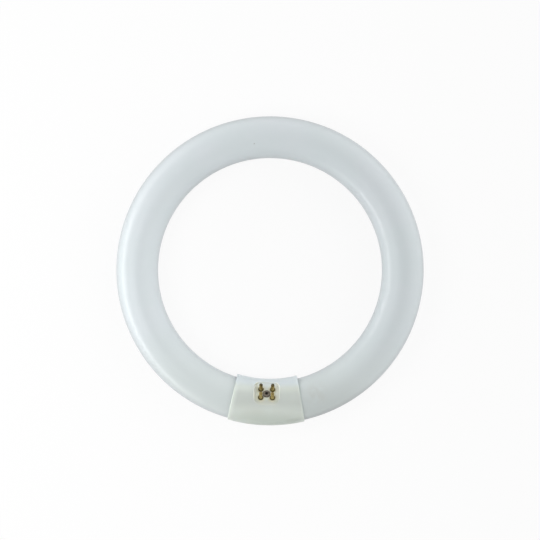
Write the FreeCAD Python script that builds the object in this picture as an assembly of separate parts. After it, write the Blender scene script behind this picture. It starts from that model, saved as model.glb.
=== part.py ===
import FreeCAD, Part
import math
import os

# A circular fluorescent lamp: a glass ring whose two sealed ends meet inside a
# moulded cap. The cap is two half shells held together by one screw. Four hollow
# brass pins stand in a pocket on the cap's front shell, and each takes a lead wire
# from the glass. The ring lies flat, with its axis on Z, its cap at -Y and the
# cap's underside on Z = 0. The pins point up and lean towards the ring's middle.
# All sizes are in millimetres and degrees.

Vector = FreeCAD.Vector

# Glass ring
ring_outer_d = 210.0
tube_d = 28.6
glass_shoulder_r = 3.5

# Glass ends: a funnel sunk into each end, with the sealed tip of an exhaust tube
flare_mouth_d = 19.0
flare_throat_d = 11.0
flare_depth = 11.0
exhaust_tip_d = 4.2
exhaust_tip_out = 3.5

# Cap shells
cap_wall = 1.45
cap_clearance = 0.15
cap_inset = 0.5
cap_end_lean = 11.0
cap_edge_r = 0.5
seam_groove = 0.2
glass_hold = 11.5
stop_rib_depth = 3.0
stop_rib_t = 1.2
stop_clearance = 0.3
lip_t = 1.2
lip_height = 2.0
lip_length = 13.0
lip_clearance = 0.1

# Pin face: the flat floor of the pocket in the front shell
pin_tilt = 30.0
face_sink = 2.7
face_length = 16.8
face_width = 16.6
face_corner_r = 4.5
face_floor_r = 0.4
face_rim_r = 0.4
face_plate_t = 3.0
face_wall = 1.6
end_room = 2.0

# Contact pins
pin_pitch_along = 7.92
pin_pitch_across = 6.35
pin_d = 2.4
pin_length = 7.1
pin_bore_d = 1.0
pin_tip_hole_d = 0.7
pin_tip_wall = 0.8
pin_tip_r = 0.7
pin_collar_d = 3.7
pin_collar_height = 0.7
pin_cone_height = 0.6
pin_rivet_d = 3.3
pin_rivet_height = 0.5
pin_clearance = 0.05

# Clamp screw, and the boss that it bites into
screw_d = 2.9
screw_length = 14.0
screw_point = 2.0
screw_tip_d = 0.8
screw_head_d = 5.0
screw_head_height = 1.8
screw_head_sink = 1.0
screw_head_r = 0.8
cross_width = 0.8
cross_span = 2.9
cross_depth = 1.1
cross_turn = 20.0
screw_clearance = 0.25
thread_clearance = 0.02
boss_wall = 1.8
boss_clearance = 0.1
boss_hole_spare = 1.5
gusset_t = 1.2
gusset_height = 9.0

# Lead wires
wire_d = 0.5
wire_spread = 6.3
wire_embed = 3.0
wire_corner_drop = 9.2
wire_lead_in = 6.0
wire_seal_clearance = 0.02

# Sizes that follow from the ones above
tube_r = tube_d / 2
ring_r = ring_outer_d / 2 - tube_r
bore_r = tube_r + cap_clearance
cap_r = bore_r + cap_wall
wall_middle_r = bore_r + cap_wall / 2
face_height = cap_r - face_sink
plate_under = face_height - face_plate_t
plate_half_length = face_length / 2 + face_wall
glass_gap = 2 * (plate_half_length + end_room)
cap_length = glass_gap + 2 * glass_hold
head_seat = face_height - screw_head_sink
boss_top = plate_under - boss_clearance


def ring_angle(distance):
    """The turn about the ring's axis that moves the tube's centreline sideways by a distance."""
    return math.degrees(math.asin(distance / ring_r))


gap_angle = ring_angle(glass_gap / 2)
cap_sweep = 1.5 * ring_angle(cap_length / 2)

# The cap's own frame: X along the tube, Y across the pin face, Z out along the pins
ORIGIN = Vector(0, 0, 0)
UP = Vector(0, 0, 1)
ALONG = Vector(1, 0, 0)
CAP_CENTRE = Vector(0, -ring_r, cap_r)
CAP_FRAME = FreeCAD.Placement(CAP_CENTRE, FreeCAD.Rotation(ALONG, -pin_tilt))
PIN_AXIS = CAP_FRAME.Rotation.multVec(UP)

SIDES = {"left": -1, "right": 1}
ROWS = {"outer": -1, "inner": 1}


def in_cap(shape):
    """A copy of a shape that was drawn in the cap's own frame, set in its place."""
    moved = shape.copy()
    moved.Placement = CAP_FRAME.multiply(moved.Placement)
    return moved


def cap_point(along, across, height):
    """A point given in the cap's own frame, from the tube's centreline."""
    return CAP_FRAME.multVec(Vector(along, across, height))


def cylinder(diameter, low, high, along=0.0, across=0.0):
    """A cylinder in the cap, along the pins' direction between two heights."""
    return in_cap(Part.makeCylinder(diameter / 2, high - low, Vector(along, across, low)))


def pin_place(side, row):
    """How far along and across the pin face a pin's axis lies."""
    return side * pin_pitch_along / 2, row * pin_pitch_across / 2


def sweep(face, start, end):
    """A face across the tube at the cap, swept round the ring's axis between two angles."""
    turned = face.copy()
    turned.rotate(ORIGIN, UP, start)
    return turned.revolve(ORIGIN, UP, end - start)


def round_bar(radius, half_angle, inset=0.0):
    """A stretch of round bar along the ring at the cap, set towards the middle by inset."""
    edge = Part.makeCircle(radius, CAP_CENTRE + Vector(0, inset, 0), ALONG)
    return sweep(Part.Face(Part.Wire([edge])), -half_angle, half_angle)


def section_bar(points, half_angle):
    """A stretch of straight-sided bar along the ring at the cap, from (across, height) points."""
    corners = [cap_point(0, across, height) for across, height in points]
    return sweep(Part.Face(Part.makePolygon(corners + corners[:1])), -half_angle, half_angle)


def level_bar(low, high, half_angle):
    """All of the cap's section between two heights above the tube's centreline."""
    reach = 1.5 * cap_r
    return section_bar([(-reach, low), (reach, low), (reach, high), (-reach, high)], half_angle)


def only_solid(shape):
    """The one solid that a shape holds."""
    if len(shape.Solids) != 1:
        raise ValueError("expected one solid, found %d" % len(shape.Solids))
    return shape.Solids[0]


def solid(shape):
    """The one solid that a shape holds, with its split faces joined."""
    return only_solid(shape.removeSplitter())


def glass_end(side):
    """The middle of a glass end's face, and the direction that faces out of the glass."""
    turn = math.radians(side * gap_angle)
    centre = Vector(ring_r * math.sin(turn), -ring_r * math.cos(turn), cap_r)
    return centre, Vector(math.cos(turn), math.sin(turn), 0) * -side


def glass_tube():
    """The sealed glass ring, with a funnel and a sealed exhaust tip at each end."""
    edge = Part.makeCircle(tube_r, CAP_CENTRE, ALONG)
    glass = sweep(Part.Face(Part.Wire([edge])), gap_angle, 360 - gap_angle)
    rims = [e for e in glass.Edges if abs(e.Length - math.pi * tube_d) < wire_seal_clearance]
    glass = glass.makeFillet(glass_shoulder_r, rims)
    tip_r = exhaust_tip_d / 2
    for side in SIDES.values():
        centre, out = glass_end(side)
        flare = Part.makeCone(flare_mouth_d / 2, flare_throat_d / 2, flare_depth, centre, out * -1)
        stem_root = centre - out * (flare_depth + tip_r)
        stem = Part.makeCylinder(tip_r, flare_depth + exhaust_tip_out, stem_root, out)
        stem_tip = Part.makeSphere(tip_r, centre + out * (exhaust_tip_out - tip_r))
        glass = glass.cut(flare).fuse([stem, stem_tip])
        for row in ROWS.values():
            glass = glass.cut(wire_rod(side, row, wire_d / 2 + wire_seal_clearance))
    return solid(glass)


def cap_blank():
    """The cap's outer form: a stretch of ring between two leaning ends with rounded rims."""
    middle = math.sqrt(ring_r ** 2 - (cap_length / 2) ** 2)
    reach = 2 * cap_r
    spread = reach * math.tan(math.radians(cap_end_lean))
    inner_half = cap_length / 2 - spread
    outer_half = cap_length / 2 + spread
    corners = [
        Vector(-inner_half, reach - middle, -cap_r),
        Vector(inner_half, reach - middle, -cap_r),
        Vector(outer_half, -reach - middle, -cap_r),
        Vector(-outer_half, -reach - middle, -cap_r),
    ]
    span = Part.Face(Part.makePolygon(corners + corners[:1])).extrude(UP * 4 * cap_r)
    blank = round_bar(cap_r, cap_sweep, cap_inset).common(span)
    ends = [face for face in blank.Faces if isinstance(face.Surface, Part.Plane)]
    rims = [edge for face in ends for edge in face.OuterWire.Edges]
    return blank.makeFillet(cap_edge_r, rims)


def seam_cutter():
    """A fine V groove along the two lines where the half shells meet."""
    tilt = math.radians(pin_tilt)
    middle = cap_inset * math.cos(tilt)
    half_chord = math.sqrt(cap_r ** 2 - (cap_inset * math.sin(tilt)) ** 2)
    g = seam_groove
    grooves = []
    for across in (middle - half_chord, middle + half_chord):
        diamond = [(across - g, 0), (across, -g), (across + g, 0), (across, g)]
        grooves.append(section_bar(diamond, cap_sweep))
    return grooves


def cap_skin():
    """The hollow cap before it is parted into its two half shells."""
    return cap_blank().cut([round_bar(bore_r, cap_sweep)] + seam_cutter())


def pin_pocket():
    """The room cut out above the pin face, with round corners and a rounded floor edge."""
    corner = Vector(-face_length / 2, -face_width / 2, face_height)
    room = Part.makeBox(face_length, face_width, cap_r, corner)
    uprights = [e for e in room.Edges if abs(e.tangentAt(e.FirstParameter).z) > 0.5]
    room = room.makeFillet(face_corner_r, uprights)
    floor = [face for face in room.Faces if face.BoundBox.ZMax < face_height + face_floor_r / 2]
    return in_cap(room.makeFillet(face_floor_r, floor[0].Edges))


def pocket_rim(shell, blank, pocket):
    """The shell's edges where the pocket comes out through the cap's outer form."""
    def touches(edge, body):
        middle = Part.Vertex(edge.valueAt((edge.FirstParameter + edge.LastParameter) / 2))
        return body.Shells[0].distToShape(middle)[0] < face_rim_r / 10

    return [edge for edge in shell.Edges if touches(edge, blank) and touches(edge, pocket)]


def cap_front_shell():
    """The half shell with the pocket and the thick plate that the pins are riveted in."""
    corner = Vector(-plate_half_length, -cap_r, plate_under)
    block = in_cap(Part.makeBox(2 * plate_half_length, 2 * cap_r, cap_r, corner))
    blank = cap_blank()
    pocket = pin_pocket()
    shell = cap_skin().common(level_bar(0, 2 * cap_r, cap_sweep))
    shell = solid(shell.fuse(block.common(blank)))
    holes = [
        cylinder(screw_d + 2 * screw_clearance, 0, face_height),
        cylinder(screw_head_d + 2 * screw_clearance, head_seat, cap_r),
    ]
    for side in SIDES.values():
        for row in ROWS.values():
            holes.append(cylinder(pin_d + 2 * pin_clearance, 0, cap_r, *pin_place(side, row)))
    shell = only_solid(shell.cut([pocket] + holes))
    return only_solid(shell.makeFillet(face_rim_r, pocket_rim(shell, blank, pocket)))


def stop_rib(side):
    """A rib round the inside of the rear shell that keeps a glass end from sliding in."""
    far = glass_gap / 2 - stop_clearance
    rib = round_bar(wall_middle_r, ring_angle(far))
    rib = rib.cut([round_bar(wall_middle_r, ring_angle(far - stop_rib_t))])
    rib = rib.cut([round_bar(bore_r - stop_rib_depth, cap_sweep)])
    room = Part.makeBox(4 * cap_r, 4 * cap_r, 4 * cap_r, CAP_CENTRE - Vector(0, 2 * cap_r, 2 * cap_r))
    return rib.common(room) if side > 0 else rib.cut(room)


def locating_lip():
    """The lips on the rear shell that slip behind the front shell's wall and line it up."""
    half_angle = ring_angle(lip_length / 2)
    inside = bore_r - lip_clearance
    tongue = round_bar(inside, half_angle).common(level_bar(0, lip_height, half_angle))
    root = round_bar(wall_middle_r, half_angle).common(level_bar(-lip_height, 0, half_angle))
    return tongue.fuse(root).cut(round_bar(inside - lip_t, half_angle))


def cap_rear_shell():
    """The plain half shell, with the screw boss, its gussets, the stop ribs and the lips."""
    below = level_bar(-2 * cap_r, 0, cap_sweep)
    skin = cap_skin().common(below)
    boss_d = screw_d + 2 * boss_wall
    boss = cylinder(boss_d, -cap_r, boss_top)
    web = Part.makeBox(gusset_t, 2 * cap_r, gusset_height, Vector(-gusset_t / 2, -cap_r, -bore_r))
    inside = round_bar(wall_middle_r, cap_sweep)
    fittings = [stop_rib(side).common(below) for side in SIDES.values()]
    fittings += [boss.common(inside), in_cap(web).common(inside), locating_lip()]
    screw_end = head_seat - screw_length
    hole = cylinder(screw_d + 2 * thread_clearance, screw_end - boss_hole_spare, boss_top)
    return solid(skin.fuse(fittings).cut(hole))


def clamp_screw():
    """A pan-head screw with a cross recess, pointed at its end."""
    shank_end = head_seat - screw_length + screw_point
    head_top = head_seat + screw_head_height
    head = Part.makeCylinder(screw_head_d / 2, screw_head_height, Vector(0, 0, head_seat))
    crown = [e for e in head.Edges if e.BoundBox.ZMin > head_seat + screw_head_height / 2]
    head = head.makeFillet(screw_head_r, crown)
    shank = Part.makeCylinder(screw_d / 2, head_seat - shank_end, Vector(0, 0, shank_end))
    point = Part.makeCone(screw_d / 2, screw_tip_d / 2, screw_point, Vector(0, 0, shank_end), UP * -1)
    screw = head.fuse([shank, point])
    floor = head_top - cross_depth
    slot = Part.makeBox(cross_span, cross_width, cross_depth, Vector(-cross_span / 2, -cross_width / 2, floor))
    turned = slot.copy()
    slot.rotate(ORIGIN, UP, cross_turn)
    turned.rotate(ORIGIN, UP, cross_turn + 90)
    return in_cap(solid(screw.cut([slot, turned])))


def contact_pin(side, row):
    """A hollow pin with a collar on the pin face, riveted over under the plate."""
    pin_r = pin_d / 2
    collar_r = pin_collar_d / 2
    bore = pin_bore_d / 2
    tip_hole = pin_tip_hole_d / 2
    rivet_r = pin_rivet_d / 2
    under = -face_plate_t
    end = under - pin_rivet_height
    profile = [
        (bore, end),
        (rivet_r, end),
        (rivet_r, under),
        (pin_r, under),
        (pin_r, 0),
        (collar_r, 0),
        (collar_r, pin_collar_height),
        (pin_r, pin_collar_height + pin_cone_height),
        (pin_r, pin_length),
        (tip_hole, pin_length),
        (tip_hole, pin_length - pin_tip_wall),
        (bore, pin_length - pin_tip_wall),
    ]
    along, across = pin_place(side, row)
    corners = [Vector(r, 0, h) for r, h in profile]
    pin = Part.Face(Part.makePolygon(corners + corners[:1])).revolve(ORIGIN, UP, 360)
    tip = [e for e in pin.Edges if abs(e.Length - math.pi * pin_d) < pin_clearance
           and e.BoundBox.ZMin > pin_length - pin_tip_wall]
    pin = pin.makeFillet(pin_tip_r, tip)
    pin.translate(Vector(along, across, face_height))
    return in_cap(solid(pin))


def wire_rod(side, row, radius):
    """A round rod along a lead wire's route: out of the glass, round one bend, up its pin."""
    centre, out = glass_end(side)
    sideways = PIN_AXIS.cross(out) * -side
    sideways.normalize()
    start = centre - out * (flare_depth + wire_embed) + sideways * (row * wire_spread / 2)
    along, across = pin_place(side, row)
    pin_end = plate_under - pin_rivet_height
    corner = cap_point(along, across, pin_end - wire_corner_drop)
    finish = cap_point(along, across, face_height + pin_length - pin_tip_wall)
    first = corner - start
    first.normalize()
    half_turn = first.getAngle(PIN_AXIS) / 2
    tangent = wire_corner_drop - wire_lead_in
    bend_r = tangent / math.tan(half_turn)
    inward = PIN_AXIS - first
    inward.normalize()
    bend_start = corner - first * tangent
    bend_end = corner + PIN_AXIS * tangent
    bend_middle = corner + inward * (bend_r / math.cos(half_turn) - bend_r)
    route = Part.Wire([
        Part.LineSegment(start, bend_start).toShape(),
        Part.Arc(bend_start, bend_middle, bend_end).toShape(),
        Part.LineSegment(bend_end, finish).toShape(),
    ])
    section = Part.Wire([Part.makeCircle(radius, start, first)])
    return route.makePipeShell([section], True, False)


def lead_wire(side, row):
    """A lead wire, from the seal in the glass to the tip of its pin's bore."""
    return solid(wire_rod(side, row, wire_d / 2))


def build_parts():
    """Every piece of the lamp, by name."""
    parts = {
        "glass_tube": glass_tube(),
        "cap_front_shell": cap_front_shell(),
        "cap_rear_shell": cap_rear_shell(),
        "clamp_screw": clamp_screw(),
    }
    for side_name, side in SIDES.items():
        for row_name, row in ROWS.items():
            parts["contact_pin_%s_%s" % (side_name, row_name)] = contact_pin(side, row)
            parts["lead_wire_%s_%s" % (side_name, row_name)] = lead_wire(side, row)
    return parts


os.makedirs("parts", exist_ok=True)
for name, shape in build_parts().items():
    shape.exportStep("parts/%s.step" % name)
    print("%-28s %9.2f mm3  valid %s" % (name, shape.Volume, shape.isValid()))
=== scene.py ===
import math

import bpy
from mathutils import Matrix, Vector


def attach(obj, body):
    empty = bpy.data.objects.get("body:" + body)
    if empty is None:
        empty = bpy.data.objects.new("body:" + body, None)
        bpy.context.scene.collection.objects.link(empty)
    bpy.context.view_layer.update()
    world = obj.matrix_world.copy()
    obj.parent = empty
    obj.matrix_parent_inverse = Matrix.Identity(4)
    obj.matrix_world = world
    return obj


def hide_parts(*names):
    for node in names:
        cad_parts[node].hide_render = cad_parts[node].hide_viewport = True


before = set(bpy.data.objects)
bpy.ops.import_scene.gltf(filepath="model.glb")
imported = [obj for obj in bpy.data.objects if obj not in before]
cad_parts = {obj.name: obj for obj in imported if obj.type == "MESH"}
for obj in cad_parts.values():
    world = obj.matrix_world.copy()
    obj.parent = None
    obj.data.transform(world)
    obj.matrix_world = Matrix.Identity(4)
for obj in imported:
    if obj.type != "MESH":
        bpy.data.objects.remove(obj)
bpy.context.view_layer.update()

# A circular fluorescent lamp seen from straight above: a white glass ring, a moulded
# cap over its two ends, and four brass pins round a screw in the cap's pocket.
# Everything is in metres. The ring's axis is Z, the cap is at -Y and lies on Z = 0.

MM = 0.001

# Glass ring
RING_OUTER_R = 105.0 * MM
TUBE_R = 14.3 * MM
TUBE_SIDES = 72
RING_STEPS = 252
SHOULDER_R = 3.5 * MM
FLARE_MOUTH_R = 9.5 * MM
FLARE_THROAT_R = 5.5 * MM
FLARE_DEPTH = 11.0 * MM
EXHAUST_TIP_R = 2.1 * MM
EXHAUST_TIP_OUT = 3.5 * MM
BEND_STEPS = 6

# Cap's front shell
CAP_CLEARANCE = 0.15 * MM
CAP_WALL = 1.45 * MM
BORE_R = TUBE_R + CAP_CLEARANCE
CAP_R = BORE_R + CAP_WALL
CAP_INSET = 0.5 * MM
CAP_END_LEAN = math.radians(11.0)
CAP_EDGE_R = 0.5 * MM
CAP_EDGE_STEPS = 4
SEAM_CHAMFER = 0.2 * MM
CAP_SIDES = 128
# Columns of faces along the cap, in degrees and steps. The wide ones keep the lengthwise
# edges clear of the pocket's end walls and of the leaning ends, which are cut through them.
CAP_COLUMNS = ((3.6, 1), (6.6, 6), (3.3, 1), (6.6, 6), (3.3, 1), (6.6, 6), (3.6, 1))

# Pin face: the floor of the pocket, heights counted along the pins from the tube's centreline
PIN_TILT = math.radians(30.0)
FACE_SINK = 2.7 * MM
FACE_HEIGHT = CAP_R - FACE_SINK
FACE_LENGTH = 16.8 * MM
FACE_WIDTH = 16.6 * MM
FACE_CORNER_R = 4.5 * MM
FACE_CORNER_STEPS = 12
FACE_FLOOR_R = 0.4 * MM
FACE_RIM_R = 0.4 * MM
ROUNDING_STEPS = 4
# The pocket's roundings take no more than these shares of its wall's height. Before they are
# made, points of the rim that lie closer than a step are joined, and others moved clear of the wall.
FLOOR_SHARE = 0.2
RIM_SHARE = 0.4
RIM_STEP = 0.3 * MM
CLEAR_OF_WALL = 0.35 * MM

# Plate that carries the pins
PLATE_T = 3.0 * MM
PLATE_UNDER = FACE_HEIGHT - PLATE_T
PLATE_WALL = 1.6 * MM
PLATE_HALF_LENGTH = FACE_LENGTH / 2 + PLATE_WALL
CORE_REACH = math.radians(9.0)
CORE_STEPS = 12
ABOVE_CAP = 20.0 * MM
BELOW_PLATE = 5.0 * MM

# Room for the plate between the glass ends, and how far the cap holds the glass
END_ROOM = 2.0 * MM
GLASS_GAP = 2 * (PLATE_HALF_LENGTH + END_ROOM)
GLASS_HOLD = 11.5 * MM
CAP_HALF_LENGTH = GLASS_GAP / 2 + GLASS_HOLD

# Contact pins, heights counted from the pin face
PIN_ALONG = 3.96 * MM
PIN_ACROSS = 3.175 * MM
PIN_R = 1.2 * MM
PIN_LENGTH = 7.1 * MM
PIN_BORE_R = 0.5 * MM
PIN_TIP_BEND = 0.7 * MM
PIN_TIP_HOLE_R = 0.35 * MM
PIN_TIP_WALL = 0.8 * MM
COLLAR_R = 1.85 * MM
COLLAR_HEIGHT = 0.7 * MM
CONE_HEIGHT = 0.6 * MM
RIVET_R = 1.65 * MM
RIVET_HEIGHT = 0.5 * MM
PIN_CLEARANCE = 0.05 * MM
PIN_HOLE_R = PIN_R + PIN_CLEARANCE
PIN_SIDES = 40
PIN_EDGE = 0.07 * MM
PIN_EDGE_STEPS = 2
PIN_SHARP = math.radians(35.0)

# Clamp screw, heights counted from the seat of its head
HEAD_SINK = 1.0 * MM
HEAD_SEAT = FACE_HEIGHT - HEAD_SINK
HEAD_R = 2.5 * MM
HEAD_HEIGHT = 1.8 * MM
HEAD_BEND = 0.8 * MM
SHANK_R = 1.45 * MM
SCREW_LENGTH = 14.0 * MM
SCREW_POINT = 2.0 * MM
POINT_R = 0.4 * MM
SCREW_CLEARANCE = 0.25 * MM
HEAD_HOLE_R = HEAD_R + SCREW_CLEARANCE
SHANK_HOLE_R = SHANK_R + SCREW_CLEARANCE
CROSS_SPAN = 2.9 * MM
CROSS_WIDTH = 0.8 * MM
CROSS_DEPTH = 1.1 * MM
CROSS_TAPER = 0.7
CROSS_TURN = math.radians(20.0)
ABOVE_HEAD = 1.0 * MM
SCREW_SIDES = 64

# Edges that turn less than these angles are shaded smooth, in degrees
GLASS_SMOOTH = 40
CAP_SMOOTH = 43
PIN_SMOOTH = 40
SCREW_SMOOTH = 35

# Places
RING_R = RING_OUTER_R - TUBE_R
RING_Z = CAP_R
RING_CENTRE = Vector((0, 0, RING_Z))
TUBE_AT_CAP = Vector((0, -RING_R, RING_Z))
CAP_FRAME = Matrix.Translation(TUBE_AT_CAP) @ Matrix.Rotation(-PIN_TILT, 4, "X")
PIN_AXIS = CAP_FRAME.to_3x3() @ Vector((0, 0, 1))

# How close counts as the same place, as touching, and as on the pocket's wall or rim
SAME_PLACE = 0.0001 * MM
CLOSE = 0.002 * MM
ON_WALL = 0.05 * MM
ON_RIM = 0.08 * MM
# Moves that bring a point onto the cap's skin
SKIN_TRIES = 8

# Camera: straight above the ring, turned a little so that the cap sits left of the bottom
CAMERA_ABOVE = 2.0
FIELD_WIDTH = 0.3689
CAMERA_ROLL = math.radians(1.55)
SENSOR_WIDTH = 36.0

# Floor
FLOOR_SIZE = 6.0
FLOOR_GLOW = 0.90
FLOOR_GREY = 0.80

# Surround: its level at the horizon, and two directions that it is brighter in, each as long as its level
SKY_HORIZON = 0.86
SKY_SIDES = ((1.67, 0.0, 0.0), (0.60, 0.60, 0.0))

# Lights: place, width and height, and power in watts
LOW_STRIP_PLACE = (-1.0, -0.25, 0.11)
LOW_STRIP_SIZE = (2.3, 0.20)
LOW_STRIP_POWER = 6.8
HIGH_STRIP_PLACE = (-1.0, 0.10, 0.28)
HIGH_STRIP_SIZE = (2.5, 0.28)
HIGH_STRIP_POWER = 4.6
FAR_STRIP_PLACE = (0.1, 1.0, 0.12)
FAR_STRIP_SIZE = (2.0, 0.16)
FAR_STRIP_POWER = 0.9
SOFT_BOX_PLACE = (-0.33, -0.05, 0.52)
SOFT_BOX_SIZE = (0.35, 0.35)
SOFT_BOX_POWER = 1.55

# Colours, linear
GLASS_WHITE = (0.562, 0.603, 0.625)
GLASS_GREENISH = (0.548, 0.598, 0.612)
GLASS_PALE = (0.575, 0.612, 0.632)
GLASS_ENDS = (0.545, 0.592, 0.586)
GLASS_SMEARED = (0.47, 0.49, 0.47)
GLASS_SPECK = (0.33, 0.34, 0.33)
GLASS_PAINTED_SHADOW = (0.470, 0.512, 0.502)
GLASS_INNER_EDGE_SHADE = (0.468, 0.506, 0.523)
GLASS_OUTER_EDGE_SHADE = (0.416, 0.450, 0.465)
GLASS_PAINTED_SHADOW_EDGE = (0.320, 0.346, 0.350)
CAP_WHITE = (0.588, 0.632, 0.592)
CAP_WARM = (0.570, 0.606, 0.560)
CAP_MIDDLE_SHADE = (0.520, 0.556, 0.524)
CAP_COOL = (0.580, 0.635, 0.652)
CAP_OUTER_SHADE = (0.480, 0.530, 0.480)
CAP_CONTOUR_SHADE = (0.390, 0.430, 0.390)
CAP_LEFT_END_HIGHLIGHT = (0.640, 0.686, 0.640)
CAP_POCKET_LIGHT = (0.650, 0.685, 0.620)
CAP_POCKET_TOP_LIGHT = (0.700, 0.748, 0.745)
CAP_POCKET_FOOT_SHADE = (0.560, 0.588, 0.535)
CAP_POCKET_LEFT_LIGHT = (0.740, 0.768, 0.700)
CAP_POCKET_RIGHT_LIGHT = (0.830, 0.855, 0.790)
CAP_YELLOWED = (0.690, 0.670, 0.490)
BRASS_TARNISH = (0.15, 0.110, 0.036)
BRASS_PALE_TIP = (0.42, 0.320, 0.120)
STEEL = (0.30, 0.27, 0.235)
STEEL_BROWN = (0.17, 0.14, 0.11)
STEEL_RECESS_SHADE = (0.012, 0.009, 0.006)
WIRE = (0.55, 0.50, 0.44)
WIRE_GREY = (0.42, 0.40, 0.38)

# Brass colours up a pin with painted reflections, painted shade at the collar and the tip and a painted
# highlight on the cone, with the heights above the pin face where each one holds
BRASS_AND_PAINTED_SHINE_UP_THE_PIN = (
    (0.00 * MM, (0.095, 0.073, 0.021)),
    (1.10 * MM, (0.120, 0.093, 0.030)),
    (1.40 * MM, (0.520, 0.440, 0.205)),
    (2.20 * MM, (0.560, 0.465, 0.215)),
    (3.20 * MM, (0.480, 0.365, 0.130)),
    (6.30 * MM, (0.450, 0.345, 0.125)),
    (6.70 * MM, (0.150, 0.118, 0.050)),
    (7.10 * MM, (0.100, 0.081, 0.038)),
)

# Marks on the glass, and the painted shadow of the cap on the glass to its right: their places, and how far
# each one reaches at full strength and at all
SMEAR_PLACE = (33.6 * MM, -83.4 * MM, 30.0 * MM)
SMEAR_REACH = (3.0 * MM, 11.0 * MM)
SMEAR_STRENGTH = 0.5
SPECK_PLACES = ((-13.0 * MM, 85.4 * MM, 29.5 * MM), (-60.0 * MM, 84.8 * MM, 21.0 * MM))
SPECK_REACH = (0.18 * MM, 0.6 * MM)
# Painted shadow: greyer glass just right of the cap, where the cap's shadow falls
PAINTED_SHADOW_PLACE = (44.0 * MM, -103.0 * MM, 8.0 * MM)
PAINTED_SHADOW_REACH = (14.0 * MM, 46.0 * MM)

# Where the glass changes colour: along Y towards the cap, away from the ring's axis, and edge on. The
# greying edge on, more on the outer side, is partly glass seen through more of itself and partly painted
# shade
GLASS_NEAR_CAP = (-95.0 * MM, -35.0 * MM)
GLASS_OUTER_SIDE = (RING_R - 6.0 * MM, RING_R + 6.0 * MM)
GLASS_EDGE_ON = (0.35, 0.85)

# Where the cap changes colour, in its own frame: across the tube, along it and up the pins
# Painted shade: a darker band along the cap's middle, where its top faces up
CAP_MIDDLE_LINE = -4.5 * MM
CAP_MIDDLE_REACH = (2.0 * MM, 7.5 * MM)
CAP_INNER_SIDE = (2.0 * MM, 8.0 * MM)
# Painted shade on the cap's outer side, darkest along its lower outline below the seam and towards the right
# end
CAP_OUTER_SIDE = (-16.0 * MM, -11.0 * MM)
CAP_RIGHT_END_SHADE = (10.0 * MM, 22.0 * MM)
CAP_RIGHT_END_LOW = (2.0 * MM, 6.0 * MM)
CAP_UNDER_SEAM = (-6.0 * MM, 0.0)
# Painted highlight on the left end: where it holds, square to the left end's plane, counted from the ring's
# axis
CAP_LEFT_RIM = (2.4 * MM, 6.2 * MM)

# Where the pocket changes colour: painted light that makes it paler than its shade would leave it, more on
# its top and its end walls, and painted shade at its foot
POCKET_HEIGHT = (PLATE_UNDER - 2.0 * MM, PLATE_UNDER)
POCKET_EDGE = (FACE_CORNER_R + 0.1 * MM, FACE_CORNER_R + 0.8 * MM)
POCKET_TOP = (2.5 * MM, 6.5 * MM)
POCKET_FOOT = (-6.0 * MM, -3.0 * MM)
POCKET_LEFT = (-6.8 * MM, -4.8 * MM)
POCKET_RIGHT = (4.8 * MM, 6.8 * MM)
YELLOWED_REACH = (1.5 * MM, 4.2 * MM)
YELLOWED_STRENGTH = 0.8

# Paler tips on the outer row of pins, tarnish on the pins, and on the screw a brown side below its crown and
# painted shade in its recess
PALE_TIP_HEIGHT = (FACE_HEIGHT + 6.2 * MM, FACE_HEIGHT + 6.7 * MM)
PALE_TIP_STRENGTH = 0.8
OUTER_ROW = (-1.0 * MM, 1.0 * MM)
TARNISH_STRENGTH = 0.45
HEAD_TOP = HEAD_SEAT + HEAD_HEIGHT
HEAD_CROWN = (HEAD_TOP - 0.9 * MM, HEAD_TOP - 0.2 * MM)
RECESS_DEEP = (HEAD_TOP - 0.6 * MM, HEAD_TOP - 0.1 * MM)
RECESS_SHADE_REACH = (0.5 * MM, 1.6 * MM)
RECESS_SHADE_STRENGTH = 0.9

# Sizes of the uneven spots in each finish
GLASS_CLOUDS = 45.0 * MM
GLASS_STREAKS = 7.0 * MM
GLASS_WAVES = 16.0 * MM
GLASS_GLOSS = 30.0 * MM
SMEAR_SPOTS = 5.0 * MM
CAP_STAINS = 14.0 * MM
CAP_GRAIN = 0.7 * MM
CAP_GLOSS = 6.0 * MM
BRASS_SPOTS = 0.9 * MM
BRASS_GRAIN = 0.35 * MM
BRASS_GLOSS = 1.2 * MM
STEEL_SPOTS = 0.8 * MM
STEEL_GRAIN = 0.4 * MM
STEEL_GLOSS = 0.6 * MM
WIRE_SPOTS = 0.6 * MM
WIRE_GRAIN = 0.15 * MM
WIRE_GLOSS = 0.9 * MM

# Detail in the noise that makes the spots
COARSE = 2.0
FINE = 3.0

# Levels of noise at which spots begin and are full, from many spots to few
MANY_SPOTS = (0.30, 0.60)
EVEN_SPOTS = (0.35, 0.65)
STEEL_SPOT_LEVELS = (0.40, 0.65)
SOME_SPOTS = (0.40, 0.70)
FEW_SPOTS = (0.45, 0.75)
STREAK_STRENGTH = 0.35
GLOSS_LEVELS = (0.30, 0.70)

# Least and most roughness of each finish
GLASS_ROUGHNESS = (0.29, 0.34)
CAP_ROUGHNESS = (0.36, 0.46)
BRASS_ROUGHNESS = (0.26, 0.42)
STEEL_ROUGHNESS = (0.34, 0.52)
WIRE_ROUGHNESS = (0.28, 0.40)

# Light that the cap's plastic lets in
CAP_SCATTER = 0.6
CAP_SCATTER_COLOUR = (1.0, 1.0, 0.9)
CAP_SCATTER_DEPTH = 1.2 * MM

# Numbers of the Mix node's colour sockets
MIX_FIRST = 6
MIX_SECOND = 7
MIX_RESULT = 2


def around(angle):
    """A turn about the ring's axis, counted from the cap towards +X."""
    return Matrix.Rotation(angle, 4, "Z")


def in_section(point):
    """A point's place across the tube: how far inwards from the centreline, and how far up."""
    return RING_R - math.hypot(point.x, point.y), point.z - RING_Z


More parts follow.
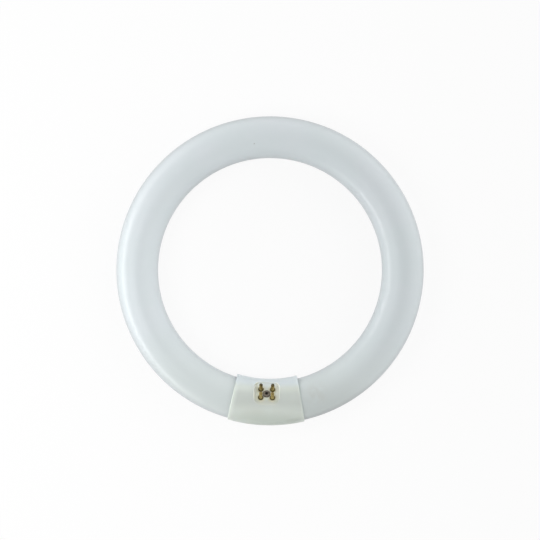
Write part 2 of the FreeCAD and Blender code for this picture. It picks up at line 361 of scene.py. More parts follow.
def from_outer_centre(point):
    """How far a point lies from the middle of the cap's outer circle."""
    inwards, up = in_section(point)
    return math.hypot(inwards - CAP_INSET, up)


def activate(piece):
    """Makes a piece the only one selected, and the one that operators act on."""
    bpy.ops.object.select_all(action="DESELECT")
    piece.select_set(True)
    bpy.context.view_layer.objects.active = piece


def edit(piece):
    """Opens a piece in edit mode, with all of it selected."""
    activate(piece)
    bpy.ops.object.mode_set(mode="EDIT")
    bpy.ops.mesh.select_all(action="SELECT")


def leave():
    """Goes back from edit mode to object mode."""
    bpy.ops.object.mode_set(mode="OBJECT")


def pick(piece, kind, test):
    """Selects in edit mode the vertices, edges or faces of a piece that pass a test."""
    bpy.ops.mesh.select_mode(type=kind)
    bpy.ops.mesh.select_all(action="DESELECT")
    leave()
    mesh = piece.data
    parts = {"VERT": mesh.vertices, "EDGE": mesh.edges, "FACE": mesh.polygons}[kind]
    for part in parts:
        part.select = test(part)
    bpy.ops.object.mode_set(mode="EDIT")


def pick_edges(piece, test):
    """Selects the edges whose two ends both pass a test of their place."""
    points = piece.data.vertices
    pick(piece, "EDGE", lambda edge: all(test(points[i].co) for i in edge.vertices))


def settle(piece):
    """Moves a piece's place and turn into its mesh."""
    activate(piece)
    bpy.ops.object.transform_apply(location=True, rotation=True, scale=True)


def set_in_cap(piece):
    """Puts a piece that was drawn upright at the origin into its place in the cap."""
    piece.matrix_world = CAP_FRAME @ piece.matrix_world
    settle(piece)


def mend_normals():
    """Joins doubled points and turns all faces outwards, in edit mode."""
    bpy.ops.mesh.select_all(action="SELECT")
    bpy.ops.mesh.remove_doubles(threshold=SAME_PLACE)
    bpy.ops.mesh.normals_make_consistent(inside=False)


def apply_boolean(piece, operation, other):
    """Joins another shape to a piece, or cuts it out, and deletes that shape."""
    activate(piece)
    step = piece.modifiers.new(operation, "BOOLEAN")
    step.operation = operation
    step.object = other
    step.solver = "EXACT"
    bpy.ops.object.modifier_apply(modifier=step.name)
    bpy.data.objects.remove(other)


def block(name, low, high):
    """A box between two corners."""
    bpy.ops.object.select_all(action="DESELECT")
    low = Vector(low)
    high = Vector(high)
    bpy.ops.mesh.primitive_cube_add(size=1, location=(low + high) / 2, scale=high - low)
    piece = bpy.context.object
    piece.name = name
    settle(piece)
    return piece


def tube_circle(name, radius, inset, turn, sides, fill):
    """A circle across the tube at a turn from the cap, open in edit mode."""
    bpy.ops.object.select_all(action="DESELECT")
    place = around(turn) @ (TUBE_AT_CAP + Vector((0, inset, 0)))
    bpy.ops.mesh.primitive_circle_add(
        vertices=sides, radius=radius, fill_type=fill, location=place, rotation=(0, math.pi / 2, turn))
    piece = bpy.context.object
    piece.name = name
    settle(piece)
    edit(piece)
    return piece


def spin_round(angle, steps):
    """Spins what is selected round the ring's axis, towards +X from the cap."""
    bpy.ops.mesh.spin(steps=steps, angle=-angle, center=RING_CENTRE, axis=(0, 0, 1))


def draw_loop(centre, axis, steps):
    """Draws the selected loop out through (radius, distance) steps, counted along an axis."""
    radius, distance = steps[0]
    for next_radius, next_distance in steps[1:]:
        move = axis * (next_distance - distance)
        bpy.ops.mesh.extrude_region_move(TRANSFORM_OT_translate={"value": move})
        factor = next_radius / radius
        bpy.ops.transform.resize(value=(factor,) * 3, center_override=centre + axis * next_distance)
        radius = next_radius
        distance = next_distance


def quarter_bend(radius, distance, bend):
    """(radius, distance) steps round a quarter bend, from straight along to straight inwards."""
    steps = []
    for i in range(1, BEND_STEPS + 1):
        turn = math.pi / 2 * i / BEND_STEPS
        steps.append((radius - bend + bend * math.cos(turn), distance + bend * math.sin(turn)))
    return steps


def turned(name, outline, sides):
    """A piece turned on the Z axis: a circle drawn out through (radius, height) steps, in edit mode."""
    radius, height = outline[0]
    bpy.ops.object.select_all(action="DESELECT")
    bpy.ops.mesh.primitive_circle_add(vertices=sides, radius=radius, location=(0, 0, height))
    piece = bpy.context.object
    piece.name = name
    settle(piece)
    edit(piece)
    upward = Vector((0, 0, 1))
    draw_loop(Vector((0, 0, 0)), upward, outline)
    return piece


def finish_piece(piece, material, nodes, smooth_angle):
    """Smooths a piece, gives it its material and lets it stand for its solids."""
    activate(piece)
    bpy.ops.object.shade_smooth_by_angle(angle=math.radians(smooth_angle))
    piece.data.materials.clear()
    piece.data.materials.append(material)
    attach(piece, "root")
    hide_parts(*nodes)


def model_glass_ring():
    """The glass: a circle spun round the ring, with each end drawn in to its funnel and exhaust tip."""
    start = math.asin(GLASS_GAP / 2 / RING_R) + SHOULDER_R / RING_R
    ring = tube_circle("glass_ring", TUBE_R, 0.0, start, TUBE_SIDES, "NOTHING")
    spin_round(2 * math.pi - 2 * start, RING_STEPS)
    tip_bend_start = SHOULDER_R + EXHAUST_TIP_OUT - EXHAUST_TIP_R
    steps = [(TUBE_R, 0.0)]
    steps += quarter_bend(TUBE_R, 0.0, SHOULDER_R)
    steps += [
        (FLARE_MOUTH_R, SHOULDER_R),
        (FLARE_THROAT_R, SHOULDER_R - FLARE_DEPTH),
        (EXHAUST_TIP_R, SHOULDER_R - FLARE_DEPTH),
        (EXHAUST_TIP_R, tip_bend_start),
    ]
    steps += quarter_bend(EXHAUST_TIP_R, tip_bend_start, EXHAUST_TIP_R)[:-1]
    for side in (1, -1):
        turn = around(side * start)
        centre = turn @ TUBE_AT_CAP
        out = turn @ Vector((-side, 0, 0))

        def at_end(vertex):
            away = vertex.co - centre
            return abs(away.dot(out)) < CLOSE and away.length < 2 * TUBE_R

        pick(ring, "VERT", at_end)
        draw_loop(centre, out, steps)
        bpy.ops.mesh.merge(type="CENTER")
    mend_normals()
    leave()
    return ring


def half_tube_wall():
    """The front half of the cap's wall, cut from a spun ring section between two leaning ends."""
    start = -math.radians(sum(angle for angle, _ in CAP_COLUMNS)) / 2
    wall = tube_circle("cap_front", CAP_R, CAP_INSET, start, CAP_SIDES, "NOTHING")
    clear_pocket_sides(wall, start)
    share = BORE_R / CAP_R
    outer_centre = TUBE_AT_CAP + Vector((0, CAP_INSET, 0))
    shrink_centre = (TUBE_AT_CAP - outer_centre * share) / (1 - share)
    bpy.ops.mesh.extrude_region_move(TRANSFORM_OT_translate={"value": (0, 0, 0)})
    bpy.ops.transform.resize(value=(share,) * 3, center_override=around(start) @ shrink_centre)
    bpy.ops.mesh.select_all(action="SELECT")
    bpy.ops.mesh.bisect(
        plane_co=around(start) @ TUBE_AT_CAP, plane_no=around(start).to_3x3() @ PIN_AXIS,
        clear_inner=True, threshold=SAME_PLACE)
    bpy.ops.mesh.select_all(action="SELECT")
    for angle, steps in CAP_COLUMNS:
        spin_round(math.radians(angle), steps)
    mend_normals()
    chamfer_seam(wall)
    for side in (1, -1):
        cut_cap_end(wall, side)
    leave()
    return wall


def clear_pocket_sides(section, turn):
    """Slides the section's points just inside the pocket's side walls a little away from them."""
    to_cap = (around(turn) @ CAP_FRAME).inverted()
    for side in (1, -1):
        def beside_wall(vertex):
            place = to_cap @ vertex.co
            return place.z > 0 and 0 < FACE_WIDTH / 2 - side * place.y < CLEAR_OF_WALL

        pick(section, "VERT", beside_wall)
        lean = side * math.asin(FACE_WIDTH / 2 / CAP_R)
        move = to_cap.to_3x3().inverted() @ Vector((0, -side * math.cos(lean), side * math.sin(lean)))
        bpy.ops.transform.translate(value=move * CLEAR_OF_WALL)
    bpy.ops.mesh.select_all(action="SELECT")


def chamfer_seam(wall):
    """A fine chamfer along the two outer edges where the half shells meet."""
    def on_seam(point):
        inwards, up = in_section(point)
        height = inwards * math.sin(PIN_TILT) + up * math.cos(PIN_TILT)
        return abs(height) < CLOSE and from_outer_centre(point) > CAP_R - CAP_EDGE_R

    pick_edges(wall, on_seam)
    bpy.ops.mesh.bevel(offset=SEAM_CHAMFER, segments=1, affect="EDGES")


def cut_cap_end(wall, side):
    """Cuts one end of the cap's wall along its leaning plane and rounds the outer rim there."""
    from_axis = math.sqrt(RING_R ** 2 - CAP_HALF_LENGTH ** 2)
    middle = Vector((side * CAP_HALF_LENGTH, -from_axis, RING_Z))
    normal = Vector((side * math.cos(CAP_END_LEAN), math.sin(CAP_END_LEAN), 0))
    bpy.ops.mesh.select_all(action="SELECT")
    bpy.ops.mesh.bisect(
        plane_co=middle, plane_no=normal, clear_outer=True, use_fill=True, threshold=SAME_PLACE)

    def on_rim(point):
        at_end = abs((point - middle).dot(normal)) < CLOSE
        return at_end and from_outer_centre(point) > CAP_R - CAP_EDGE_R

    pick_edges(wall, on_rim)
    bpy.ops.mesh.bevel(offset=CAP_EDGE_R, segments=CAP_EDGE_STEPS, affect="EDGES")


def pin_plate():
    """The thick plate under the pin face, trimmed to run into the middle of the cap's wall."""
    low = (-PLATE_HALF_LENGTH, -CAP_R, PLATE_UNDER)
    plate = block("pin_plate", low, (PLATE_HALF_LENGTH, CAP_R, ABOVE_CAP))
    set_in_cap(plate)
    core = tube_circle("cap_core", (CAP_R + BORE_R) / 2, CAP_INSET / 2, -CORE_REACH, CAP_SIDES, "NGON")
    spin_round(2 * CORE_REACH, CORE_STEPS)
    mend_normals()
    leave()
    apply_boolean(plate, "INTERSECT", core)
    return plate


def pocket_room():
    """The room above the pin face, with round corners."""
    low = (-FACE_LENGTH / 2, -FACE_WIDTH / 2, FACE_HEIGHT)
    room = block("pocket_room", low, (FACE_LENGTH / 2, FACE_WIDTH / 2, ABOVE_CAP))
    edit(room)
    points = room.data.vertices

    def upright(edge):
        first, second = (points[i].co.z for i in edge.vertices)
        return abs(first - second) > CLOSE

    pick(room, "EDGE", upright)
    bpy.ops.mesh.bevel(offset=FACE_CORNER_R, segments=FACE_CORNER_STEPS, affect="EDGES")
    leave()
    set_in_cap(room)
    return room


def outside_pocket(along, across):
    """How far outside the pocket's outline a place on the pin face lies, below 0 inside it."""
    past_end = abs(along) - (FACE_LENGTH / 2 - FACE_CORNER_R)
    past_side = abs(across) - (FACE_WIDTH / 2 - FACE_CORNER_R)
    corner = math.hypot(max(past_end, 0), max(past_side, 0))
    return corner + min(max(past_end, past_side), 0) - FACE_CORNER_R


def wall_height(place):
    """How high the cap's skin lies above the pin face, at a place in the cap's frame."""
    top = Vector(place)
    for _ in range(SKIN_TRIES):
        top.z += CAP_R - from_outer_centre(CAP_FRAME @ top)
    return top.z - FACE_HEIGHT


def round_pocket_edges(shell):
    """Rounds the pocket's rim and the foot of its wall, less where the wall is low."""
    to_cap = CAP_FRAME.inverted()

    def on_wall(point):
        return abs(outside_pocket(point.x, point.y)) < ON_WALL

    def at_foot(point):
        return on_wall(point) and abs(point.z - FACE_HEIGHT) < CLOSE

    def at_rim(point):
        return on_wall(point) and abs(point.z - FACE_HEIGHT - wall_height(point)) < ON_RIM

    edit(shell)
    pick(shell, "VERT", lambda vertex: at_rim(to_cap @ vertex.co))
    bpy.ops.mesh.remove_doubles(threshold=RIM_STEP)
    leave()
    points = [to_cap @ vertex.co for vertex in shell.data.vertices]
    weights = shell.data.attributes.new("bevel_weight_edge", "FLOAT", "EDGE")
    for edge in shell.data.edges:
        first, second = (points[i] for i in edge.vertices)
        height = wall_height((first + second) / 2)
        if at_foot(first) and at_foot(second):
            weights.data[edge.index].value = min(1, FLOOR_SHARE * height / FACE_FLOOR_R)
        elif at_rim(first) and at_rim(second):
            weights.data[edge.index].value = min(1, RIM_SHARE * height / FACE_RIM_R)
    activate(shell)
    step = shell.modifiers.new("rounding", "BEVEL")
    step.limit_method = "WEIGHT"
    step.width = FACE_RIM_R
    step.segments = ROUNDING_STEPS
    step.use_clamp_overlap = False
    step.loop_slide = False
    bpy.ops.object.modifier_apply(modifier=step.name)
    shell.data.attributes.remove(shell.data.attributes["bevel_weight_edge"])


def plate_holes():
    """The stepped hole for the screw and the four holes for the pins, as one cutter."""
    screw_hole = turned("plate_holes", [
        (SHANK_HOLE_R, BELOW_PLATE),
        (SHANK_HOLE_R, HEAD_SEAT),
        (HEAD_HOLE_R, HEAD_SEAT),
        (HEAD_HOLE_R, ABOVE_CAP),
    ], SCREW_SIDES)
    bpy.ops.mesh.edge_face_add()
    pick_edges(screw_hole, lambda point: abs(point.z - BELOW_PLATE) < CLOSE)
    bpy.ops.mesh.edge_face_add()
    mend_normals()
    leave()
    holes = [screw_hole]
    for along in (-PIN_ALONG, PIN_ALONG):
        for across in (-PIN_ACROSS, PIN_ACROSS):
            bpy.ops.object.select_all(action="DESELECT")
            bpy.ops.mesh.primitive_cylinder_add(
                vertices=PIN_SIDES, radius=PIN_HOLE_R, depth=ABOVE_CAP - BELOW_PLATE,
                location=(along, across, (ABOVE_CAP + BELOW_PLATE) / 2))
            holes.append(bpy.context.object)
    for hole in holes:
        hole.select_set(True)
    bpy.context.view_layer.objects.active = screw_hole
    bpy.ops.object.join()
    set_in_cap(screw_hole)
    return screw_hole


def model_front_shell():
    """The cap's front half: the wall with the pin plate, its pocket and its holes."""
    shell = half_tube_wall()
    apply_boolean(shell, "UNION", pin_plate())
    apply_boolean(shell, "DIFFERENCE", pocket_room())
    round_pocket_edges(shell)
    apply_boolean(shell, "DIFFERENCE", plate_holes())
    return shell


def model_contact_pin():
    """One hollow pin, turned: riveted end, collar on the pin face, and a round tip with a small hole."""
    tail_end = -PLATE_T - RIVET_HEIGHT
    bore_end = PIN_LENGTH - PIN_TIP_WALL
    bend_start = PIN_LENGTH - PIN_TIP_BEND
    outline = [
        (PIN_BORE_R, tail_end),
        (RIVET_R, tail_end),
        (RIVET_R, -PLATE_T),
        (PIN_R, -PLATE_T),
        (PIN_R, 0.0),
        (COLLAR_R, 0.0),
        (COLLAR_R, COLLAR_HEIGHT),
        (PIN_R, COLLAR_HEIGHT + CONE_HEIGHT),
        (PIN_R, bend_start),
    ]
    outline += quarter_bend(PIN_R, bend_start, PIN_TIP_BEND)
    outline += [
        (PIN_TIP_HOLE_R, PIN_LENGTH),
        (PIN_TIP_HOLE_R, bore_end),
        (PIN_BORE_R, bore_end),
        (PIN_BORE_R, tail_end),
    ]
    pin = turned("contact_pin", outline, PIN_SIDES)
    mend_normals()
    bpy.ops.mesh.select_all(action="DESELECT")
    bpy.ops.mesh.select_mode(type="EDGE")
    bpy.ops.mesh.edges_select_sharp(sharpness=PIN_SHARP)
    bpy.ops.mesh.bevel(offset=PIN_EDGE, segments=PIN_EDGE_STEPS, affect="EDGES")
    leave()
    return pin


def place_pins(pin, material):
    """Four copies of the pin, each with its own mesh, in their holes in the pin plate."""
    for side, along in (("left", -PIN_ALONG), ("right", PIN_ALONG)):
        for row, across in (("outer", -PIN_ACROSS), ("inner", PIN_ACROSS)):
            activate(pin)
            bpy.ops.object.duplicate(linked=False)
            copy = bpy.context.object
            pin_name = "pin_%s_%s" % (side, row)
            copy.name = pin_name
            copy.location = (along, across, FACE_HEIGHT)
            bpy.context.view_layer.update()
            set_in_cap(copy)
            finish_piece(copy, material, ["contact_" + pin_name], PIN_SMOOTH)
    bpy.data.objects.remove(pin)


def model_clamp_screw():
    """The screw, turned, with a cross recess cut into its head."""
    bend_start = HEAD_HEIGHT - HEAD_BEND
    outline = [
        (POINT_R, -SCREW_LENGTH),
        (SHANK_R, -SCREW_LENGTH + SCREW_POINT),
        (SHANK_R, 0.0),
        (HEAD_R, 0.0),
        (HEAD_R, bend_start),
    ]
    outline += quarter_bend(HEAD_R, bend_start, HEAD_BEND)
    screw = turned("screw", outline, SCREW_SIDES)
    bpy.ops.mesh.edge_face_add()
    pick_edges(screw, lambda point: abs(point.z + SCREW_LENGTH) < CLOSE)
    bpy.ops.mesh.edge_face_add()
    mend_normals()
    leave()
    floor = HEAD_HEIGHT - CROSS_DEPTH
    for half_x, half_y in ((CROSS_SPAN / 2, CROSS_WIDTH / 2), (CROSS_WIDTH / 2, CROSS_SPAN / 2)):
        slot = block("cross_slot", (-half_x, -half_y, floor), (half_x, half_y, HEAD_HEIGHT + ABOVE_HEAD))
        edit(slot)
        pick(slot, "FACE", lambda face: face.center.z < floor + CLOSE)
        bpy.ops.transform.resize(value=(CROSS_TAPER, CROSS_TAPER, 1), center_override=(0, 0, floor))
        leave()
        slot.rotation_euler.z = CROSS_TURN
        settle(slot)
        apply_boolean(screw, "DIFFERENCE", slot)
    screw.location = (0, 0, HEAD_SEAT)
    bpy.context.view_layer.update()
    set_in_cap(screw)
    return screw


class Finish:
    """A procedural material, with short ways to add the nodes that feed its shader."""

    def __init__(self, name):
        self.material = bpy.data.materials.new(name)
        self.material.use_nodes = True
        self.nodes = self.material.node_tree.nodes
        self.links = self.material.node_tree.links
        self.shader = self.nodes["Principled BSDF"]
        self.place = self.nodes.new("ShaderNodeTexCoord").outputs["Object"]

    def add(self, kind, inputs, **settings):
        """Adds a node, with its settings and with a value or a link for each named input."""
        node = self.nodes.new("ShaderNode" + kind)
        for name, value in settings.items():
            setattr(node, name, value)
        for name, value in inputs.items():
            if isinstance(value, bpy.types.NodeSocket):
                self.links.new(value, node.inputs[name])
            else:
                node.inputs[name].default_value = value
        return node

    def noise(self, size, detail=COARSE):
        """Uneven spots of about a size in metres, as a number round 0.5."""
        inputs = {"Vector": self.place, "Scale": 1 / size, "Detail": detail}
        return self.add("TexNoise", inputs).outputs["Fac"]

    def step(self, value, low, high, at_low=0.0, at_high=1.0):
        """A number that goes smoothly from one level to another between two values."""
        inputs = {"Value": value, "From Min": low, "From Max": high, "To Min": at_low, "To Max": at_high}
        return self.add("MapRange", inputs, interpolation_type="SMOOTHSTEP").outputs["Result"]

    def fade(self, value, low, high, most=1.0):
        """A number that falls smoothly from a level to 0 between two values."""
        return self.step(value, low, high, most, 0.0)

    def spots(self, size, levels, most=1.0, detail=COARSE):
        """Soft spots of about a size, which rise from 0 to a level between two levels of noise."""
        return self.step(self.noise(size, detail), *levels, 0.0, most)

    def math(self, operation, first, second):
        """One sum of two numbers."""
        return self.add("Math", {0: first, 1: second}, operation=operation).outputs[0]

    def vector(self, operation, first, second=None):
        """One sum of two vectors, or of one."""
        inputs = {0: first}
        if second is not None:
            inputs[1] = second
        return self.add("VectorMath", inputs, operation=operation)

    def away_from(self, place, point):
        """How far a place lies from a point."""
        return self.vector("DISTANCE", place, point).outputs["Value"]

    def from_axis(self, place):
        """How far a place lies from the Z axis."""
        flat = self.vector("MULTIPLY", place, (1, 1, 0)).outputs[0]
        return self.vector("LENGTH", flat).outputs["Value"]

    def blend(self, share, first, second):
        """A colour between two."""
        colours = {}
        for socket, colour in ((MIX_FIRST, first), (MIX_SECOND, second)):
            colours[socket] = (*colour, 1) if isinstance(colour, tuple) else colour
        return self.add("Mix", {0: share, **colours}, data_type="RGBA").outputs[MIX_RESULT]

    def in_cap(self):
        """Places in the cap's own frame: along the tube, across the pin face, out along the pins."""
        inputs = {"Vector": self.place, "Location": TUBE_AT_CAP, "Rotation": (-PIN_TILT, 0, 0)}
        return self.add("Mapping", inputs, vector_type="TEXTURE").outputs["Vector"]

    def axes(self, place):
        """The three numbers of a place."""
        return self.add("SeparateXYZ", {"Vector": place}).outputs

    def relief(self, height, strength, depth):
        """Raises and sinks the surface a little."""
        bump = self.add("Bump", {"Height": height, "Strength": strength, "Distance": depth})
        self.links.new(bump.outputs["Normal"], self.shader.inputs["Normal"])

    def finish(self, colour, gloss_size, roughness, metallic):
        """Feeds the shader, with a roughness that varies between two values in spots of about a size."""
        uneven = self.step(self.noise(gloss_size), *GLOSS_LEVELS, *roughness)
        self.links.new(colour, self.shader.inputs["Base Color"])
        self.links.new(uneven, self.shader.inputs["Roughness"])
        self.shader.inputs["Metallic"].default_value = metallic
        return self.material


def coated_glass():
    """Clear glass over white powder: cloudy, greyer by the cap, with a painted shadow right of the cap,
    greyer edge on (partly glass, partly painted shade), a smear and two specks.
    """
    glass = Finish("coated_glass")
    clouds = glass.spots(GLASS_CLOUDS, EVEN_SPOTS, detail=FINE)
    colour = glass.blend(clouds, GLASS_WHITE, GLASS_GREENISH)
    streaks = glass.spots(GLASS_STREAKS, FEW_SPOTS, most=STREAK_STRENGTH)
    colour = glass.blend(streaks, colour, GLASS_PALE)
    near_cap = glass.fade(glass.axes(glass.place)[1], *GLASS_NEAR_CAP)
    colour = glass.blend(near_cap, colour, GLASS_ENDS)
    # Painted shadow of the cap on the glass to its right, darker still at its outer edge
    painted_shadow = glass.fade(glass.away_from(glass.place, PAINTED_SHADOW_PLACE), *PAINTED_SHADOW_REACH)
    colour = glass.blend(painted_shadow, colour, GLASS_PAINTED_SHADOW)
    smear = glass.fade(glass.away_from(glass.place, SMEAR_PLACE), *SMEAR_REACH, most=SMEAR_STRENGTH)
    smear = glass.math("MULTIPLY", smear, glass.spots(SMEAR_SPOTS, MANY_SPOTS))
    colour = glass.blend(smear, colour, GLASS_SMEARED)
    for place in SPECK_PLACES:
        speck = glass.fade(glass.away_from(glass.place, place), *SPECK_REACH)
        colour = glass.blend(speck, colour, GLASS_SPECK)
    # Greyer edge on: partly glass seen through more of itself, partly painted shade, which is darker on the
    # outer side
    outer_shade = glass.step(glass.from_axis(glass.place), *GLASS_OUTER_SIDE)
    edge = glass.blend(outer_shade, GLASS_INNER_EDGE_SHADE, GLASS_OUTER_EDGE_SHADE)
    edge = glass.blend(glass.math("MULTIPLY", painted_shadow, outer_shade), edge, GLASS_PAINTED_SHADOW_EDGE)
    edge_on = glass.add("LayerWeight", {}).outputs["Facing"]
    colour = glass.blend(glass.step(edge_on, *GLASS_EDGE_ON), colour, edge)
    glass.relief(glass.noise(GLASS_WAVES), strength=0.2, depth=0.3 * MM)
    return glass.finish(colour, GLASS_GLOSS, GLASS_ROUGHNESS, metallic=0.0)


def cap_plastic():
    """Moulded plastic with a fine grain: cool on its inner side, with painted shade along its middle, its
    outer side and its lower outline, a painted highlight on its left end, and painted light in the pocket.
    """
    cap = Finish("cap_plastic")
    place = cap.in_cap()
    along, across, height = cap.axes(place)
    colour = cap.blend(cap.spots(CAP_STAINS, EVEN_SPOTS), CAP_WHITE, CAP_WARM)
    # Painted shade along the cap's middle
    from_middle = cap.math("ABSOLUTE", cap.math("SUBTRACT", across, CAP_MIDDLE_LINE), 0.0)
    colour = cap.blend(cap.fade(from_middle, *CAP_MIDDLE_REACH), colour, CAP_MIDDLE_SHADE)
    # Painted highlight along the left end, where light from the left catches its rim
    left_end = (-math.cos(CAP_END_LEAN), math.sin(CAP_END_LEAN), 0)
    leftwards = cap.vector("DOT_PRODUCT", cap.place, left_end).outputs["Value"]
    colour = cap.blend(cap.step(leftwards, *CAP_LEFT_RIM), colour, CAP_LEFT_END_HIGHLIGHT)
    colour = cap.blend(cap.step(across, *CAP_INNER_SIDE), colour, CAP_COOL)
    # Painted shade on the outer side, darkest along the lower outline below the seam and towards the right
    # end
    outer_shade = cap.fade(across, *CAP_OUTER_SIDE)
    colour = cap.blend(outer_shade, colour, CAP_OUTER_SHADE)
    right_end_shade = cap.math("MULTIPLY", cap.step(along, *CAP_RIGHT_END_SHADE), cap.fade(height, *CAP_RIGHT_END_LOW))
    contour_shade = cap.math("MAXIMUM", cap.fade(height, *CAP_UNDER_SEAM), right_end_shade)
    colour = cap.blend(cap.math("MULTIPLY", outer_shade, contour_shade), colour, CAP_CONTOUR_SHADE)

    in_pocket = cap.step(height, *POCKET_HEIGHT)
    folded = cap.vector("ABSOLUTE", place).outputs[0]
    folded = cap.vector("MULTIPLY", folded, (1, 1, 0)).outputs[0]
    corner = (FACE_LENGTH / 2 - FACE_CORNER_R, FACE_WIDTH / 2 - FACE_CORNER_R, 0)
    past_corner = cap.vector("SUBTRACT", folded, corner).outputs[0]
    past_corner = cap.vector("MAXIMUM", past_corner, (0, 0, 0)).outputs[0]
    inside = cap.fade(cap.vector("LENGTH", past_corner).outputs["Value"], *POCKET_EDGE)
    # Painted light in the pocket, more on its top and end walls, with painted shade at its foot
    pocket = cap.blend(cap.step(across, *POCKET_TOP), CAP_POCKET_LIGHT, CAP_POCKET_TOP_LIGHT)
    pocket = cap.blend(cap.fade(along, *POCKET_LEFT), pocket, CAP_POCKET_LEFT_LIGHT)
    pocket = cap.blend(cap.step(along, *POCKET_RIGHT), pocket, CAP_POCKET_RIGHT_LIGHT)
    pocket = cap.blend(cap.fade(across, *POCKET_FOOT), pocket, CAP_POCKET_FOOT_SHADE)
    colour = cap.blend(cap.math("MULTIPLY", in_pocket, inside), colour, pocket)
    from_pin = cap.away_from(folded, (PIN_ALONG, PIN_ACROSS, 0))
    yellowed = cap.fade(from_pin, *YELLOWED_REACH, most=YELLOWED_STRENGTH)
    colour = cap.blend(cap.math("MULTIPLY", in_pocket, yellowed), colour, CAP_YELLOWED)

    cap.relief(cap.noise(CAP_GRAIN, FINE), strength=0.15, depth=0.05 * MM)
    cap.shader.inputs["Subsurface Weight"].default_value = CAP_SCATTER
    cap.shader.inputs["Subsurface Radius"].default_value = CAP_SCATTER_COLOUR
    cap.shader.inputs["Subsurface Scale"].default_value = CAP_SCATTER_DEPTH
    return cap.finish(colour, CAP_GLOSS, CAP_ROUGHNESS, metallic=0.0)


def pin_brass():
    """Dulled brass with painted reflections: painted shade at the collar and the tip, a painted highlight on
    the cone, and paler at the outer row's tips.
    """
    brass = Finish("pin_brass")
    _, across, height = brass.axes(brass.in_cap())
    # Painted shade and highlight up the pin, by height
    inputs = {"Value": height, "From Min": FACE_HEIGHT, "From Max": FACE_HEIGHT + PIN_LENGTH}
    share = brass.add("MapRange", inputs).outputs["Result"]
    ramp = brass.add("ValToRGB", {"Fac": share})
    stops = ramp.color_ramp.elements
    while len(stops) < len(BRASS_AND_PAINTED_SHINE_UP_THE_PIN):
        stops.new(1.0)
    for stop, (place, colour) in zip(stops, BRASS_AND_PAINTED_SHINE_UP_THE_PIN):
        stop.position = place / PIN_LENGTH
        stop.color = (*colour, 1)
    # Paler at the tips of the outer row
    in_outer_row = brass.fade(across, *OUTER_ROW, most=PALE_TIP_STRENGTH)
    pale_tip = brass.math("MULTIPLY", brass.step(height, *PALE_TIP_HEIGHT), in_outer_row)
    colour = brass.blend(pale_tip, ramp.outputs["Color"], BRASS_PALE_TIP)
    tarnish = brass.spots(BRASS_SPOTS, SOME_SPOTS, most=TARNISH_STRENGTH, detail=FINE)
    colour = brass.blend(tarnish, colour, BRASS_TARNISH)
    brass.relief(brass.noise(BRASS_GRAIN), strength=0.2, depth=0.03 * MM)
    return brass.finish(colour, BRASS_GLOSS, BRASS_ROUGHNESS, metallic=0.9)


def screw_steel():
    """Dull plated steel: brownish in spots and down the head's side, with painted shade darkening the
    recess.
    """
    steel = Finish("screw_steel")
    place = steel.in_cap()
    height = steel.axes(place)[2]
    colour = steel.blend(steel.spots(STEEL_SPOTS, STEEL_SPOT_LEVELS, detail=FINE), STEEL, STEEL_BROWN)
    # Painted shade in and round the cross recess
    recess_shade = steel.fade(steel.from_axis(place), *RECESS_SHADE_REACH, most=RECESS_SHADE_STRENGTH)
    colour = steel.blend(recess_shade, colour, STEEL_RECESS_SHADE)
    colour = steel.blend(steel.step(height, *HEAD_CROWN), STEEL_BROWN, colour)
    deep_shade = steel.math("MULTIPLY", steel.fade(height, *RECESS_DEEP), recess_shade)
    colour = steel.blend(deep_shade, colour, STEEL_RECESS_SHADE)
    steel.relief(steel.noise(STEEL_GRAIN), strength=0.25, depth=0.03 * MM)
    return steel.finish(colour, STEEL_GLOSS, STEEL_ROUGHNESS, metallic=0.9)


def wire_metal():
    """Drawn wire, with a little grey in its shine."""
    wire = Finish("wire_metal")
    colour = wire.blend(wire.spots(WIRE_SPOTS, EVEN_SPOTS), WIRE, WIRE_GREY)
    wire.relief(wire.noise(WIRE_GRAIN), strength=0.15, depth=0.01 * MM)
    return wire.finish(colour, WIRE_GLOSS, WIRE_ROUGHNESS, metallic=1.0)


def add_camera():
    """The camera, at the photograph's place."""
    data = bpy.data.cameras.new("camera")
    data.sensor_width = SENSOR_WIDTH
    data.lens = SENSOR_WIDTH * CAMERA_ABOVE / FIELD_WIDTH
    camera = bpy.data.objects.new("camera", data)
    camera.location = RING_CENTRE + Vector((0, 0, CAMERA_ABOVE))
    camera.rotation_euler = (0, 0, CAMERA_ROLL)
    bpy.context.scene.collection.objects.link(camera)
    bpy.context.scene.camera = camera


def add_area_light(name, place, size, power, mirrored):
    """A soft box that looks at the ring's middle, and is mirrored in shiny surfaces or not."""
    data = bpy.data.lights.new(name, "AREA")
    data.shape = "RECTANGLE"
    data.size, data.size_y = size
    data.energy = power
    light = bpy.data.objects.new(name, data)
    light.location = place
    light.rotation_euler = (RING_CENTRE - Vector(place)).to_track_quat("-Z", "Y").to_euler()
    light.visible_glossy = mirrored
    bpy.context.scene.collection.objects.link(light)


def seen_by_eye(nodes, links):
    """A socket that is 1 for camera, glossy and transmission rays, and 0 for the rest."""
    path = nodes.new("ShaderNodeLightPath")
    glossy = nodes.new("ShaderNodeMath")
    glossy.operation = "MAXIMUM"
    links.new(path.outputs["Is Camera Ray"], glossy.inputs[0])
    links.new(path.outputs["Is Glossy Ray"], glossy.inputs[1])
    through = nodes.new("ShaderNodeMath")
    through.operation = "MAXIMUM"
    links.new(glossy.outputs[0], through.inputs[0])
    links.new(path.outputs["Is Transmission Ray"], through.inputs[1])
    return through.outputs[0]


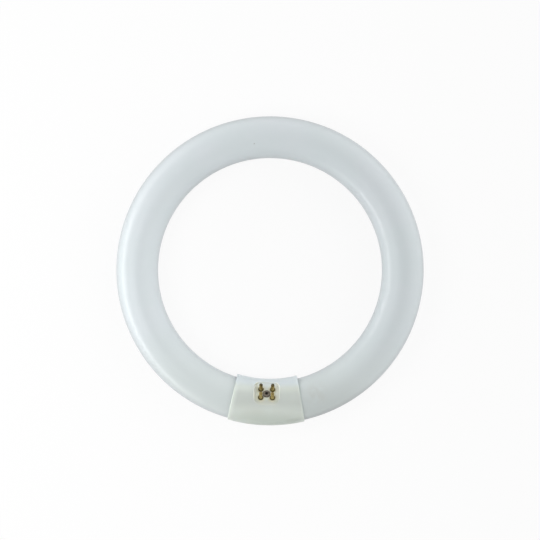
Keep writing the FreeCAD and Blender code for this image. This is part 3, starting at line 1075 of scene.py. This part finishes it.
def add_world():
    """A soft white surround, brighter low down and on two sides, that the eye sees as white."""
    world = bpy.data.worlds.new("surround")
    bpy.context.scene.world = world
    world.use_nodes = True
    nodes = world.node_tree.nodes
    links = world.node_tree.links
    nodes.clear()
    coords = nodes.new("ShaderNodeTexCoord")
    axes = nodes.new("ShaderNodeSeparateXYZ")
    links.new(coords.outputs["Generated"], axes.inputs[0])
    low = nodes.new("ShaderNodeMapRange")
    low.inputs["To Min"].default_value = SKY_HORIZON
    low.inputs["To Max"].default_value = 0.0
    links.new(axes.outputs["Z"], low.inputs["Value"])
    level = low.outputs["Result"]
    for direction in SKY_SIDES:
        side = nodes.new("ShaderNodeVectorMath")
        side.operation = "DOT_PRODUCT"
        side.inputs[1].default_value = direction
        links.new(coords.outputs["Generated"], side.inputs[0])
        lit = nodes.new("ShaderNodeMath")
        lit.operation = "MAXIMUM"
        lit.inputs[1].default_value = 0.0
        links.new(side.outputs["Value"], lit.inputs[0])
        total = nodes.new("ShaderNodeMath")
        total.operation = "ADD"
        links.new(level, total.inputs[0])
        links.new(lit.outputs[0], total.inputs[1])
        level = total.outputs[0]
    soft = nodes.new("ShaderNodeBackground")
    links.new(level, soft.inputs["Strength"])
    white = nodes.new("ShaderNodeBackground")
    white.inputs["Strength"].default_value = 1.0
    mix = nodes.new("ShaderNodeMixShader")
    links.new(seen_by_eye(nodes, links), mix.inputs["Fac"])
    links.new(soft.outputs[0], mix.inputs[1])
    links.new(white.outputs[0], mix.inputs[2])
    out = nodes.new("ShaderNodeOutputWorld")
    links.new(mix.outputs[0], out.inputs["Surface"])


def floor_material():
    """White paper that glows enough to look white and still takes a faint shadow."""
    material = bpy.data.materials.new("floor_paper")
    material.use_nodes = True
    nodes = material.node_tree.nodes
    links = material.node_tree.links
    nodes.clear()
    paper = nodes.new("ShaderNodeBsdfDiffuse")
    paper.inputs["Color"].default_value = (FLOOR_GREY, FLOOR_GREY, FLOOR_GREY, 1)
    glow = nodes.new("ShaderNodeEmission")
    glow.inputs["Strength"].default_value = 1.0
    share = nodes.new("ShaderNodeMath")
    share.operation = "MULTIPLY"
    share.inputs[1].default_value = FLOOR_GLOW
    links.new(seen_by_eye(nodes, links), share.inputs[0])
    mix = nodes.new("ShaderNodeMixShader")
    links.new(share.outputs[0], mix.inputs["Fac"])
    links.new(paper.outputs[0], mix.inputs[1])
    links.new(glow.outputs[0], mix.inputs[2])
    out = nodes.new("ShaderNodeOutputMaterial")
    links.new(mix.outputs[0], out.inputs["Surface"])
    return material


def add_floor():
    """A wide white floor under the lamp."""
    bpy.ops.object.select_all(action="DESELECT")
    bpy.ops.mesh.primitive_plane_add(size=FLOOR_SIZE)
    floor = bpy.context.object
    floor.name = "floor"
    floor.data.materials.append(floor_material())


add_camera()
add_world()
add_area_light("low_strip", LOW_STRIP_PLACE, LOW_STRIP_SIZE, LOW_STRIP_POWER, True)
add_area_light("high_strip", HIGH_STRIP_PLACE, HIGH_STRIP_SIZE, HIGH_STRIP_POWER, True)
add_area_light("far_strip", FAR_STRIP_PLACE, FAR_STRIP_SIZE, FAR_STRIP_POWER, True)
add_area_light("soft_box", SOFT_BOX_PLACE, SOFT_BOX_SIZE, SOFT_BOX_POWER, False)
add_floor()

plastic = cap_plastic()
finish_piece(model_glass_ring(), coated_glass(), ["glass_tube"], GLASS_SMOOTH)
finish_piece(model_front_shell(), plastic, ["cap_front_shell"], CAP_SMOOTH)
place_pins(model_contact_pin(), pin_brass())
finish_piece(model_clamp_screw(), screw_steel(), ["clamp_screw"], SCREW_SMOOTH)

kept_nodes = {"cap_rear_shell": plastic}
wire = wire_metal()
for side in ("left", "right"):
    for row in ("outer", "inner"):
        kept_nodes["lead_wire_%s_%s" % (side, row)] = wire
for name, material in kept_nodes.items():
    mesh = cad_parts[name].data
    mesh.materials.clear()
    mesh.materials.append(material)

bpy.context.scene.view_settings.view_transform = "Standard"
